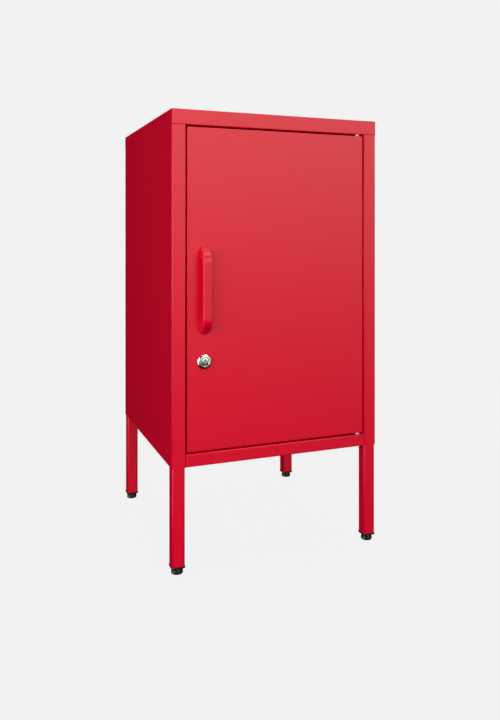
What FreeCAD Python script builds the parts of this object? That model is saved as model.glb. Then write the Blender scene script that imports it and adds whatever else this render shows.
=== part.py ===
import FreeCAD, Part
import math
import os
import Sketcher

# Single-door steel bedside cabinet on four square tube legs.
# Frame: +Z up, the door faces -Y, X runs to the right of someone facing the door.
# Origin: floor level, middle of the overall box, which includes the pull on the door.

# Driving dimensions in millimetres: name, value, meaning.
SIZES = (
    ("wide", 350.0, "case width over both side panels"),
    ("deep", 350.0, "case depth from the door face to the back"),
    ("tall", 700.0, "floor to top"),
    ("underside", 160.0, "floor to the case underside"),
    ("gauge", 0.8, "sheet thickness of the case, door and shelf"),
    ("bend", 0.7, "inside radius of every sheet bend"),
    ("header_tall", 23.5, "front and rear skirt of the top cap"),
    ("stile_wide", 21.4, "front stile and rear flange of a side panel"),
    ("sill_tall", 19.5, "sill under the door"),
    ("frame_return", 15.0, "depth of the header and sill returns"),
    ("flange", 15.0, "upturned rear edge of the bottom panel"),
    ("door_gap", 2.5, "gap all round the door"),
    ("door_return", 10.0, "depth of the door pan"),
    ("rib_wide", 40.0, "door rib over its crown"),
    ("rib_foot", 10.0, "each spot-welded foot of the door rib"),
    ("leg_wall", 1.2, "wall of the leg tube"),
    ("leg_round", 2.5, "outside corner radius of the leg tube"),
    ("leg_rise", 60.0, "how far a leg runs up inside the case"),
    ("leg_foot_gap", 12.0, "floor to the end of the leg tube"),
    ("insert_lip", 0.7, "insert flange beyond the tube, each side"),
    ("insert_flange", 2.5, "thickness of the insert flange"),
    ("insert_plug", 18.0, "part of the insert inside the tube"),
    ("insert_clearance", 0.15, "insert to tube wall"),
    ("foot_wide", 18.0, "foot pad diameter"),
    ("foot_base", 6.5, "height of the wide part of the foot pad"),
    ("foot_hub_wide", 13.0, "diameter of the foot pad hub"),
    ("foot_edge", 1.0, "chamfer of the foot pad"),
    ("stud_wide", 8.0, "levelling stud diameter"),
    ("stud_tall", 36.0, "levelling stud length"),
    ("stud_seat", 2.5, "pad thickness under the stud"),
    ("running_clearance", 0.05, "radial clearance of shafts and threads"),
    ("hinge_edge", 8.1, "hinge axis from the right edge of the door"),
    ("hinge_back", 5.0, "hinge axis behind the door face"),
    ("pin_wide", 4.0, "hinge pin diameter"),
    ("pin_head_gap", 0.2, "hinge pin head to the door skin"),
    ("pin_head_tall", 1.5, "hinge pin head height"),
    ("pin_reach", 5.0, "hinge pin beyond the frame return"),
    ("bush_wide", 5.6, "hinge bush barrel diameter"),
    ("bush_tall", 3.0, "hinge bush barrel beyond the frame return"),
    ("collar_wide", 6.4, "hinge bush collar diameter"),
    ("collar_clearance", 0.1, "hinge bush collar to the door"),
    ("reach", 21.5, "how far the pull stands out of the door"),
    ("pull_inset", 50.2, "pull and lock from the left side panel face"),
    ("pull_below", 1.7, "pull centre below the middle of the door"),
    ("pull_tall", 134.0, "pull length"),
    ("pull_wide", 14.5, "pull width"),
    ("pull_thick", 6.5, "pull strap thickness"),
    ("pull_heel", 3.0, "straight end of each pull leg at the door"),
    ("pull_slope", 15.0, "run of each sloping pull leg"),
    ("pull_foot", 15.0, "length of each pull foot on the door"),
    ("pull_shoulder", 20.0, "outside radius of the pull shoulders"),
    ("pull_inside", 9.0, "inside radius of the pull shoulders"),
    ("pull_edge", 2.0, "rounding of the pull's front edges"),
    ("screw_inset", 8.0, "pull screw from the end of the pull"),
    ("screw_wide", 4.0, "pull screw diameter"),
    ("screw_bite", 7.0, "pull screw length inside the pull"),
    ("screw_head_wide", 8.0, "pull screw head diameter"),
    ("screw_head_tall", 2.4, "pull screw head height"),
    ("lock_below", 108.1, "lock centre below the pull centre"),
    ("rosette_wide", 24.0, "lock rosette at the door"),
    ("rosette_face", 18.5, "front face of the lock rosette"),
    ("rosette_rim", 1.6, "straight rim of the rosette at the door"),
    ("rosette_reach", 6.0, "how far the rosette stands out"),
    ("barrel_wide", 17.5, "lock barrel diameter"),
    ("plug_wide", 12.0, "lock plug diameter"),
    ("plug_recess", 0.4, "plug face behind the rosette face"),
    ("keyway_wide", 2.0, "keyway width"),
    ("keyway_tall", 7.5, "keyway height"),
    ("keyway_deep", 9.0, "keyway depth"),
    ("nut_land", 2.25, "lock nut from the barrel to its flats"),
    ("nut_thick", 4.0, "lock nut thickness"),
    ("end_float", 0.3, "lock barrel to cam"),
    ("cam_clearance", 1.2, "cam behind the stile return"),
    ("cam_thick", 2.0, "cam plate thickness"),
    ("cam_wide", 14.0, "cam plate width"),
    ("cam_long", 40.0, "lock axis to cam tip"),
    ("cam_square", 7.0, "square drive of the cam"),
    ("cam_screw_wide", 4.0, "cam screw diameter"),
    ("cam_screw_bite", 8.0, "cam screw length inside the plug"),
    ("cam_head_wide", 10.0, "cam screw head diameter"),
    ("cam_head_tall", 2.4, "cam screw head height"),
    ("stop_inset", 80.0, "door stops from the left side panel face"),
    ("stop_wide", 16.0, "door stop width"),
    ("stop_drop", 12.0, "door stop beyond the frame return"),
    ("buffer_wide", 7.0, "door buffer diameter"),
    ("buffer_clearance", 0.1, "door buffer to the closed door"),
    ("strip_wide", 20.0, "shelf strip width"),
    ("strip_depth", 6.0, "shelf strip depth"),
    ("strip_gauge", 1.0, "shelf strip thickness"),
    ("strip_margin", 30.0, "shelf strip from the floor and top of the case"),
    ("strip_inset", 60.0, "shelf strip middle from the door face or the back"),
    ("slot_pitch", 25.0, "pitch of the shelf slots"),
    ("slot_wide", 10.0, "shelf slot width"),
    ("slot_tall", 4.0, "shelf slot height"),
    ("clip_slot", 9.0, "slots below the one that holds the clip"),
    ("clip_clearance", 0.2, "clip tongue to slot"),
    ("clip_tongue", 2.5, "clip tongue length"),
    ("clip_ledge", 10.0, "clip ledge length"),
    ("clip_drop", 10.0, "clip tab length"),
    ("clip_gauge", 1.5, "clip thickness"),
    ("shelf_lip", 15.0, "down-turned edge of the shelf"),
    ("shelf_clearance", 1.2, "shelf to the strips, each side"),
    ("shelf_setback", 28.0, "shelf front edge behind the door face"),
    ("shelf_back_gap", 3.0, "shelf rear edge to the back panel"),
)

# Places that many sub-parts share, as expressions on the sheet.
HALF = "(sizes.wide / 2)"
FRONT = "((sizes.reach - sizes.deep) / 2)"
BACK = "((sizes.reach + sizes.deep) / 2)"
CAP_UNDER = "(sizes.tall - sizes.gauge)"
HEADER_UNDER = "(sizes.tall - sizes.header_tall)"
SILL_TOP = "(sizes.underside + sizes.sill_tall)"
DOOR_TOP = f"({HEADER_UNDER} - sizes.door_gap)"
DOOR_FOOT = f"({SILL_TOP} + sizes.door_gap)"
DOOR_SIDE = f"({HALF} - sizes.stile_wide - sizes.door_gap)"
LEG = "(sizes.stile_wide - 2 * sizes.gauge)"
CORNER = "(sizes.stile_wide - sizes.gauge)"
HINGE_X = f"({DOOR_SIDE} - sizes.hinge_edge)"
HINGE_Y = f"({FRONT} + sizes.hinge_back)"
PULL_X = f"(sizes.pull_inset - {HALF})"
PULL_Z = f"(({DOOR_TOP} + {DOOR_FOOT}) / 2 - sizes.pull_below)"
LOCK_Z = f"({PULL_Z} - sizes.lock_below)"
CAM_FRONT = f"({CORNER} + sizes.cam_clearance)"
STRIP_FACE = f"({HALF} - sizes.gauge - sizes.strip_depth)"
STRIP_FOOT = "(sizes.underside + sizes.gauge + sizes.strip_margin)"
CLIP_Z = f"({STRIP_FOOT} + sizes.slot_pitch * (sizes.clip_slot + 0.5))"
SHELF_FOOT = f"({CLIP_Z} + sizes.slot_tall / 2 - sizes.clip_clearance)"

# The two coordinates that stay the same along an edge parallel to each axis.
AXES = {"x": (1, 2), "y": (0, 2), "z": (0, 1)}
TINY = 1e-6
LEAST_CUT = 0.01
NEAR = 0.01

DOC = FreeCAD.newDocument("bedside_cabinet")
PARTS = []


def fill_sheet():
    """Write the driving dimensions into the sheet, one named cell each."""
    sheet = DOC.addObject("Spreadsheet::Sheet", "sizes")
    for row, (alias, size, meaning) in enumerate(SIZES, start=1):
        sheet.set(f"A{row}", alias)
        sheet.set(f"B{row}", str(size))
        sheet.setAlias(f"B{row}", alias)
        sheet.set(f"C{row}", meaning)
    DOC.recompute()


def value(text):
    """Number that an expression on the sheet stands for."""
    return float(DOC.sizes.evalExpression(text))


def new_body(label, east="0", north="0", up="0"):
    """Body whose place is bound to the sheet."""
    body = DOC.addObject("PartDesign::Body", label)
    body.Label = label
    body.setExpression("Placement.Base.x", east)
    body.setExpression("Placement.Base.y", north)
    body.setExpression("Placement.Base.z", up)
    PARTS.append(body)
    return body


def new_sketch(body, plane, level="0"):
    """Sketch on an origin plane of its own body, moved along the plane's normal."""
    role = f"{plane}_Plane"
    support = next(item for item in body.Origin.OriginFeatures if item.Role == role)
    sketch = body.newObject("Sketcher::SketchObject", f"{body.Name}_outline")
    sketch.AttachmentSupport = [(support, "")]
    sketch.MapMode = "FlatFace"
    sketch.setExpression("AttachmentOffset.Base.z", level)
    return sketch


def bind(sketch, constraint, text):
    """Add a dimension to a sketch and tie it to the sheet."""
    index = sketch.addConstraint(constraint)
    sketch.setExpression(f"Constraints[{index}]", text)


def pin_point(sketch, item, end, across, up):
    """Hold one point of a sketch at a distance from the origin."""
    bind(sketch, Sketcher.Constraint("DistanceX", -1, 1, item, end, value(across)), across)
    bind(sketch, Sketcher.Constraint("DistanceY", -1, 1, item, end, value(up)), up)


def draw_loop(sketch, corners):
    """Closed loop of straight lines through corners given as expression pairs."""
    first = sketch.GeometryCount
    count = len(corners)
    spots = [FreeCAD.Vector(value(across), value(up), 0) for across, up in corners]
    for i in range(count):
        sketch.addGeometry(Part.LineSegment(spots[i], spots[(i + 1) % count]), False)
    for i in range(count):
        following = first + (i + 1) % count
        sketch.addConstraint(Sketcher.Constraint("Coincident", first + i, 2, following, 1))
    for i, (across, up) in enumerate(corners):
        pin_point(sketch, first + i, 1, across, up)


def draw_box(sketch, low, high):
    """Rectangle between two corners given as expression pairs."""
    draw_loop(sketch, (low, (high[0], low[1]), high, (low[0], high[1])))


def draw_circle(sketch, radius, across="0", up="0"):
    """Circle whose radius and centre are expressions."""
    item = sketch.GeometryCount
    centre = FreeCAD.Vector(value(across), value(up), 0)
    sketch.addGeometry(Part.Circle(centre, FreeCAD.Vector(0, 0, 1), value(radius)), False)
    pin_point(sketch, item, 3, across, up)
    bind(sketch, Sketcher.Constraint("Radius", item, value(radius)), radius)


def draw_strip(sketch, path):
    """Folded sheet section: the outer path and its offset by the gauge on the left.

    Every run of the path lies along an axis. Returns the outer and the inner bend corners.
    """
    spots = [FreeCAD.Vector(value(across), value(up), 0) for across, up in path]
    runs = [(b - a).normalize() for a, b in zip(spots, spots[1:])]
    lefts = [FreeCAD.Vector(-run.y, run.x, 0) for run in runs]
    shifts = [lefts[0]] + [a + b for a, b in zip(lefts, lefts[1:])] + [lefts[-1]]
    inner = []
    for (across, up), shift in zip(path, shifts):
        inner.append((f"{across} + {round(shift.x)} * sizes.gauge", f"{up} + {round(shift.y)} * sizes.gauge"))
    draw_loop(sketch, list(path) + inner[::-1])
    outside = []
    inside = []
    for i in range(1, len(path) - 1):
        left_turn = runs[i - 1].cross(runs[i]).z > 0
        outside.append(path[i] if left_turn else inner[i])
        inside.append(inner[i] if left_turn else path[i])
    return outside, inside


def pad(body, sketch, length, back=False):
    """Add material along the sketch normal, or against it when back is set."""
    feature = body.newObject("PartDesign::Pad", f"{body.Name}_pad")
    feature.Profile = sketch
    feature.setExpression("Length", length)
    feature.Reversed = back
    DOC.recompute()


def pocket(body, sketch, length, forward=False):
    """Cut a sketch out of the body; the cut runs against the sketch normal unless forward."""
    before = body.Tip.Shape.Volume
    feature = body.newObject("PartDesign::Pocket", f"{body.Name}_cut")
    feature.Profile = sketch
    feature.setExpression("Length", length)
    feature.Reversed = forward
    DOC.recompute()
    if before - feature.Shape.Volume < LEAST_CUT:
        raise RuntimeError(f"{feature.Label} cuts nothing")
    return feature


def revolve(body, sketch):
    """Turn a half section all the way round the sketch's upright axis."""
    feature = body.newObject("PartDesign::Revolution", f"{body.Name}_turned")
    feature.Profile = sketch
    feature.ReferenceAxis = (sketch, ["V_Axis"])
    feature.Angle = 360.0
    DOC.recompute()


def edges_along(shape, axis, spots=None):
    """Names of straight edges along an axis, all of them or those through the given spots."""
    names = []
    across, up = AXES[axis]
    for index, edge in enumerate(shape.Edges, start=1):
        if not isinstance(edge.Curve, Part.Line):
            continue
        tangent = edge.tangentAt(edge.FirstParameter)
        if abs(abs(getattr(tangent, axis)) - 1) > TINY:
            continue
        middle = edge.CenterOfMass
        if spots is None or any(abs(middle[across] - a) + abs(middle[up] - b) < NEAR for a, b in spots):
            names.append(f"Edge{index}")
    return names


def rim_edges(shape):
    """Names of the edges around the skin that faces -Y, where it meets the flanks."""
    skin = []
    for face in shape.Faces:
        first_u, last_u, first_v, last_v = face.ParameterRange
        if face.normalAt((first_u + last_u) / 2, (first_v + last_v) / 2).y < -0.1:
            skin.append(face)
    names = []
    for index, edge in enumerate(shape.Edges, start=1):
        owners = sum(any(edge.isSame(other) for other in face.Edges) for face in skin)
        if owners == 1:
            names.append(f"Edge{index}")
    return names


def top_edges(shape):
    """Names of the edges that lie in the highest plane of a shape."""
    top = shape.BoundBox.ZMax
    names = []
    for index, edge in enumerate(shape.Edges, start=1):
        if edge.BoundBox.ZMin > top - TINY:
            names.append(f"Edge{index}")
    return names


def round_edges(body, names, radius):
    """Fillet named edges of the body as it stands."""
    base = body.Tip
    feature = body.newObject("PartDesign::Fillet", f"{body.Name}_round")
    feature.Base = (base, names)
    feature.setExpression("Radius", radius)
    DOC.recompute()


def bend_edges(body, axis, outside, inside):
    """Give a folded section its outside and inside bend radii."""
    for corners, radius in ((outside, "sizes.bend + sizes.gauge"), (inside, "sizes.bend")):
        spots = [(value(across), value(up)) for across, up in corners]
        round_edges(body, edges_along(body.Tip.Shape, axis, spots), radius)


def open_tube(body, gauge):
    """Hollow an upright body to a wall, open at both ends."""
    box = body.Tip.Shape.BoundBox
    names = []
    for index, face in enumerate(body.Tip.Shape.Faces, start=1):
        level = face.CenterOfMass.z
        if min(abs(level - box.ZMin), abs(level - box.ZMax)) < TINY:
            names.append(f"Face{index}")
    base = body.Tip
    feature = body.newObject("PartDesign::Thickness", f"{body.Name}_wall")
    feature.Base = (base, names)
    feature.setExpression("Value", gauge)
    feature.Reversed = True
    DOC.recompute()


def top_cap():
    """Flat top with a skirt at the front and back; the front skirt is the header over the door."""
    body = new_body("top_cap")
    sketch = new_sketch(body, "YZ", f"-{HALF}")
    path = ((f"{BACK}", f"{HEADER_UNDER}"), (f"{BACK}", "sizes.tall"), (f"{FRONT}", "sizes.tall"),
            (f"{FRONT}", f"{HEADER_UNDER}"), (f"{FRONT} + sizes.frame_return", f"{HEADER_UNDER}"))
    outside, inside = draw_strip(sketch, path)
    pad(body, sketch, "sizes.wide")
    bend_edges(body, "x", outside, inside)
    ends = new_sketch(body, "XY", HEADER_UNDER)
    for side in ("-1", "1"):
        draw_box(ends, (f"{side} * {HALF}", f"{FRONT} + sizes.gauge"),
                 (f"{side} * ({HALF} - sizes.gauge)", f"{FRONT} + sizes.frame_return + sizes.gauge"))
    pocket(body, ends, "sizes.header_tall - sizes.gauge", forward=True)
    hole = new_sketch(body, "XY", HEADER_UNDER)
    draw_circle(hole, "sizes.bush_wide / 2 + sizes.running_clearance", HINGE_X, HINGE_Y)
    pocket(body, hole, "2 * sizes.gauge", forward=True)


def side_panel(label, side):
    """Side wall with its front stile, stile return and rear flange, plain above the header line."""
    body = new_body(label)
    sketch = new_sketch(body, "XY", "sizes.underside")
    path = [(f"{side} * ({HALF} - sizes.stile_wide)", f"{FRONT} + {CORNER}"),
            (f"{side} * ({HALF} - sizes.stile_wide)", f"{FRONT}"),
            (f"{side} * {HALF}", f"{FRONT}"),
            (f"{side} * {HALF}", f"{BACK}"),
            (f"{side} * ({HALF} - sizes.stile_wide)", f"{BACK}")]
    if side == -1:
        path.reverse()
    outside, inside = draw_strip(sketch, path)
    pad(body, sketch, f"{HEADER_UNDER} - sizes.underside")
    bend_edges(body, "z", outside, inside)
    wall = new_sketch(body, "XY", HEADER_UNDER)
    draw_box(wall, (f"{side} * {HALF}", f"{FRONT} + sizes.gauge"),
             (f"{side} * ({HALF} - sizes.gauge)", f"{BACK} - sizes.gauge"))
    pad(body, wall, "sizes.header_tall - sizes.gauge")
    top = value(CAP_UNDER)
    corners = ((value(f"{FRONT} + sizes.gauge"), top), (value(f"{BACK} - sizes.gauge"), top))
    round_edges(body, edges_along(body.Tip.Shape, "x", corners), "sizes.bend")


def bottom_panel():
    """Floor of the case with the sill folded up at the front and a flange at the back."""
    body = new_body("bottom_panel")
    sketch = new_sketch(body, "YZ", f"-{HALF} + sizes.gauge")
    rear = f"{BACK} - 2 * sizes.gauge"
    path = ((f"{FRONT} + sizes.frame_return", SILL_TOP), (FRONT, SILL_TOP), (FRONT, "sizes.underside"),
            (rear, "sizes.underside"), (rear, "sizes.underside + sizes.flange"))
    outside, inside = draw_strip(sketch, path)
    pad(body, sketch, "sizes.wide - 2 * sizes.gauge")
    bend_edges(body, "x", outside, inside)
    corners = new_sketch(body, "XY", "sizes.underside")
    for side in ("-1", "1"):
        draw_box(corners, (f"{side} * {HALF}", FRONT),
                 (f"{side} * ({HALF} - sizes.stile_wide)", f"{FRONT} + {CORNER}"))
        draw_box(corners, (f"{side} * {HALF}", f"{BACK} - {CORNER}"),
                 (f"{side} * ({HALF} - {CORNER})", BACK))
    pocket(body, corners, "sizes.sill_tall + sizes.flange", forward=True)
    hole = new_sketch(body, "XY", SILL_TOP)
    draw_circle(hole, "sizes.bush_wide / 2 + sizes.running_clearance", HINGE_X, HINGE_Y)
    pocket(body, hole, "2 * sizes.gauge")


def back_panel():
    """Flat back inside the rear flanges, notched over the rear legs."""
    body = new_body("back_panel")
    sketch = new_sketch(body, "XZ", f"2 * sizes.gauge - {BACK}")
    edge = f"({HALF} - sizes.gauge - sizes.bend)"
    top = f"{CAP_UNDER} - sizes.bend"
    notch = f"({HALF} - {CORNER})"
    leg_top = "sizes.underside + sizes.leg_rise"
    draw_loop(sketch, ((f"-{notch}", "sizes.underside"), (notch, "sizes.underside"), (notch, leg_top),
                       (edge, leg_top), (edge, top), (f"-{edge}", top),
                       (f"-{edge}", leg_top), (f"-{notch}", leg_top)))
    pad(body, sketch, "sizes.gauge", back=True)


def leg(label, east, north):
    """Square tube leg that runs up inside the corner of the case."""
    body = new_body(label, east, north, "sizes.leg_foot_gap")
    sketch = new_sketch(body, "XY")
    draw_box(sketch, (f"-{LEG} / 2", f"-{LEG} / 2"), (f"{LEG} / 2", f"{LEG} / 2"))
    pad(body, sketch, "sizes.underside + sizes.leg_rise - sizes.leg_foot_gap")
    round_edges(body, edges_along(body.Tip.Shape, "z"), "sizes.leg_round")
    open_tube(body, "sizes.leg_wall")


def leg_insert(label, east, north):
    """Moulded end insert with a square flange and a threaded hole for the foot."""
    body = new_body(label, east, north, "sizes.leg_foot_gap")
    flange = new_sketch(body, "XY")
    lip = f"({LEG} / 2 + sizes.insert_lip)"
    draw_box(flange, (f"-{lip}", f"-{lip}"), (lip, lip))
    pad(body, flange, "sizes.insert_flange", back=True)
    round_edges(body, edges_along(body.Tip.Shape, "z"), "sizes.leg_round + sizes.insert_lip")
    plug = new_sketch(body, "XY")
    side = f"({LEG} / 2 - sizes.leg_wall - sizes.insert_clearance)"
    draw_box(plug, (f"-{side}", f"-{side}"), (side, side))
    pad(body, plug, "sizes.insert_plug")
    spot = value(side)
    spots = [(a, b) for a in (-spot, spot) for b in (-spot, spot)]
    round_edges(body, edges_along(body.Tip.Shape, "z", spots), "sizes.leg_round - sizes.leg_wall")
    hole = new_sketch(body, "XY", "-sizes.insert_flange")
    draw_circle(hole, "sizes.stud_wide / 2 + sizes.running_clearance")
    pocket(body, hole, "sizes.insert_flange + sizes.insert_plug", forward=True)


def foot_stud(label, east, north):
    """Threaded stud of a levelling foot."""
    body = new_body(label, east, north, "sizes.stud_seat")
    sketch = new_sketch(body, "XY")
    draw_circle(sketch, "sizes.stud_wide / 2")
    pad(body, sketch, "sizes.stud_tall")


def foot_pad(label, east, north):
    """Round moulded pad of a levelling foot, with a hub that meets the insert flange."""
    body = new_body(label, east, north)
    sketch = new_sketch(body, "XZ")
    outer = "sizes.foot_wide / 2"
    edge = "sizes.foot_edge"
    hub = "sizes.foot_hub_wide / 2"
    bore = "sizes.stud_wide / 2 + sizes.running_clearance"
    top = "sizes.leg_foot_gap - sizes.insert_flange"
    draw_loop(sketch, (("0", "0"), (f"{outer} - {edge}", "0"), (outer, edge),
                       (outer, f"sizes.foot_base - {edge}"), (f"{outer} - {edge}", "sizes.foot_base"),
                       (hub, "sizes.foot_base"), (hub, top), (bore, top), (bore, "sizes.stud_seat"),
                       ("0", "sizes.stud_seat")))
    revolve(body, sketch)


def door_skin():
    """Door pan: the front face with returns on all four sides."""
    body = new_body("door_skin")
    sketch = new_sketch(body, "XZ", f"-{FRONT}")
    draw_box(sketch, (f"-{DOOR_SIDE}", DOOR_FOOT), (DOOR_SIDE, DOOR_TOP))
    pad(body, sketch, "sizes.door_return", back=True)
    names = edges_along(body.Tip.Shape, "y") + rim_edges(body.Tip.Shape)
    round_edges(body, names, "sizes.bend + sizes.gauge")
    hollow = new_sketch(body, "XZ", f"-({FRONT} + sizes.gauge)")
    draw_box(hollow, (f"-({DOOR_SIDE} - sizes.gauge)", f"{DOOR_FOOT} + sizes.gauge"),
             (f"{DOOR_SIDE} - sizes.gauge", f"{DOOR_TOP} - sizes.gauge"))
    pocket(body, hollow, "sizes.door_return")
    holes = new_sketch(body, "XZ", f"-{FRONT}")
    draw_circle(holes, "sizes.barrel_wide / 2 + sizes.running_clearance", PULL_X, LOCK_Z)
    for side in ("-1", "1"):
        spot = f"{PULL_Z} + {side} * (sizes.pull_tall / 2 - sizes.screw_inset)"
        draw_circle(holes, "sizes.screw_wide / 2 + sizes.running_clearance", PULL_X, spot)
    pocket(body, holes, "2 * sizes.gauge")
    for level, inward in ((DOOR_TOP, False), (DOOR_FOOT, True)):
        hole = new_sketch(body, "XY", level)
        draw_circle(hole, "sizes.pin_wide / 2 + sizes.running_clearance", HINGE_X, HINGE_Y)
        pocket(body, hole, "2 * sizes.gauge", forward=inward)


def door_rib():
    """Hat-section rib spot-welded up the middle of the door."""
    body = new_body("door_rib", "0", FRONT, f"{DOOR_FOOT} + sizes.gauge")
    sketch = new_sketch(body, "XY")
    crown = "sizes.rib_wide / 2"
    end = f"({crown} + sizes.rib_foot)"
    foot = "sizes.gauge"
    top = "sizes.door_return - sizes.gauge"
    path = ((f"-{end}", foot), (f"-{crown}", foot), (f"-{crown}", top), (crown, top), (crown, foot),
            (end, foot))
    outside, inside = draw_strip(sketch, path)
    pad(body, sketch, f"{DOOR_TOP} - {DOOR_FOOT} - 2 * sizes.gauge")
    bend_edges(body, "z", outside, inside)


def hinge_pin(label, level, up):
    """Headed hinge pin through the door flange, pointing up or down."""
    body = new_body(label, HINGE_X, HINGE_Y, level)
    sketch = new_sketch(body, "XZ")
    shank = "sizes.pin_wide / 2"
    head = "sizes.hinge_back - sizes.gauge - sizes.pin_head_gap"
    inner = f"-({up}) * sizes.gauge"
    draw_loop(sketch, (("0", f"{inner} - ({up}) * sizes.pin_head_tall"),
                       (head, f"{inner} - ({up}) * sizes.pin_head_tall"), (head, inner), (shank, inner),
                       (shank, f"({up}) * (sizes.door_gap + sizes.gauge + sizes.pin_reach)"),
                       ("0", f"({up}) * (sizes.door_gap + sizes.gauge + sizes.pin_reach)")))
    revolve(body, sketch)


def hinge_bush(label, level, up):
    """White collared bush in the frame return; its collar fills the gap over or under the door."""
    body = new_body(label, HINGE_X, HINGE_Y, level)
    sketch = new_sketch(body, "XZ")
    bore = "sizes.pin_wide / 2 + sizes.running_clearance"
    barrel = "sizes.bush_wide / 2"
    collar = "sizes.collar_wide / 2"
    face = f"-({up}) * (sizes.door_gap - sizes.collar_clearance)"
    end = f"({up}) * (sizes.gauge + sizes.bush_tall)"
    draw_loop(sketch, ((bore, face), (collar, face), (collar, "0"), (barrel, "0"), (barrel, end),
                       (bore, end)))
    revolve(body, sketch)


def draw_stadium(sketch, length, width):
    """Upright slot outline about the origin with half-round ends."""
    radius = f"({width}) / 2"
    reach = f"(({length}) - ({width})) / 2"
    first = sketch.GeometryCount
    size = value(radius)
    offset = value(reach)
    normal = FreeCAD.Vector(0, 0, 1)
    for way, start in ((1, 0.0), (-1, 180.0)):
        circle = Part.Circle(FreeCAD.Vector(0, way * offset, 0), normal, size)
        arc = Part.ArcOfCircle(circle, math.radians(start), math.radians(start + 180))
        sketch.addGeometry(arc, False)
    for way in (-1, 1):
        low = FreeCAD.Vector(way * size, -offset, 0)
        sketch.addGeometry(Part.LineSegment(low, FreeCAD.Vector(way * size, offset, 0)), False)
    top, foot, left, right = range(first, first + 4)
    for item, end, other, other_end in ((right, 2, top, 1), (top, 2, left, 2), (left, 1, foot, 1),
                                        (foot, 2, right, 1)):
        sketch.addConstraint(Sketcher.Constraint("Tangent", item, end, other, other_end))
    pin_point(sketch, top, 3, "0", reach)
    pin_point(sketch, foot, 3, "0", f"-{reach}")
    bind(sketch, Sketcher.Constraint("Radius", top, size), radius)


def pull():
    """Arched door pull: a strap on two sloping legs, half-round at both ends."""
    body = new_body("pull", PULL_X, FRONT, PULL_Z)
    half = "sizes.pull_tall / 2"
    low = "(-sizes.reach)"
    heel = "(-sizes.pull_heel)"
    under = "(sizes.pull_thick - sizes.reach)"
    shoulder = f"({half} - sizes.pull_slope)"
    inner = f"({half} - sizes.pull_foot)"
    crook = f"({inner} - sizes.pull_slope * (1 - sizes.pull_thick / sizes.reach))"
    side = new_sketch(body, "YZ", "-sizes.pull_wide / 2")
    draw_loop(side, (("0", f"-{half}"), (heel, f"-{half}"), (low, f"-{shoulder}"), (low, shoulder),
                     (heel, half), ("0", half), ("0", inner), (under, crook), (under, f"-{crook}"),
                     ("0", f"-{inner}")))
    pad(body, side, "sizes.pull_wide")
    for depth, height, radius in ((low, shoulder, "sizes.pull_shoulder"),
                                  (under, crook, "sizes.pull_inside")):
        spots = [(value(depth), value(height)), (value(depth), -value(height))]
        round_edges(body, edges_along(body.Tip.Shape, "x", spots), radius)
    ends = new_sketch(body, "XZ")
    margin = "(sizes.pull_tall / 2 + sizes.pull_wide)"
    draw_box(ends, ("-sizes.pull_wide", f"-{margin}"), ("sizes.pull_wide", margin))
    draw_stadium(ends, "sizes.pull_tall", "sizes.pull_wide")
    pocket(body, ends, "2 * sizes.reach", forward=True)
    round_edges(body, rim_edges(body.Tip.Shape), "sizes.pull_edge")
    hole = new_sketch(body, "XZ")
    for way in ("-1", "1"):
        draw_circle(hole, "sizes.screw_wide / 2 + sizes.running_clearance", "0",
                    f"{way} * (sizes.pull_tall / 2 - sizes.screw_inset)")
    pocket(body, hole, "sizes.screw_bite", forward=True)


def turned(body, corners):
    """Turn a half section about the body's own Y axis; corners are radius and depth."""
    sketch = new_sketch(body, "XY")
    draw_loop(sketch, corners)
    revolve(body, sketch)


def pull_screw(label, way):
    """Pan-head screw from inside the door into one end of the pull."""
    body = new_body(label, PULL_X, FRONT, f"{PULL_Z} + {way} * (sizes.pull_tall / 2 - sizes.screw_inset)")
    head = "sizes.screw_head_wide / 2"
    shank = "sizes.screw_wide / 2"
    tip = "sizes.running_clearance - sizes.screw_bite"
    back = "sizes.gauge + sizes.screw_head_tall"
    turned(body, (("0", tip), (shank, tip), (shank, "sizes.gauge"), (head, "sizes.gauge"),
                  (head, back), ("0", back)))


def lock_barrel():
    """Rosette and threaded barrel of the cam lock."""
    body = new_body("lock_barrel", PULL_X, FRONT, LOCK_Z)
    bore = "sizes.plug_wide / 2 + sizes.running_clearance"
    rim = "sizes.rosette_wide / 2"
    face = "sizes.rosette_face / 2"
    barrel = "sizes.barrel_wide / 2"
    end = f"{CAM_FRONT} - sizes.end_float"
    turned(body, ((bore, "-sizes.rosette_reach"), (face, "-sizes.rosette_reach"), (rim, "-sizes.rosette_rim"),
                  (rim, "0"), (barrel, "0"), (barrel, end), (bore, end)))


def lock_nut():
    """Hexagon nut that clamps the lock against the door skin."""
    body = new_body("lock_nut", PULL_X, f"{FRONT} + sizes.gauge", LOCK_Z)
    sketch = new_sketch(body, "XZ")
    tip = "((sizes.barrel_wide / 2 + sizes.nut_land) / cos(30 deg))"
    draw_loop(sketch, [(f"{tip} * cos({60 * i} deg)", f"{tip} * sin({60 * i} deg)") for i in range(6)])
    draw_circle(sketch, "sizes.barrel_wide / 2 + sizes.running_clearance")
    pad(body, sketch, "sizes.nut_thick", back=True)


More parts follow.
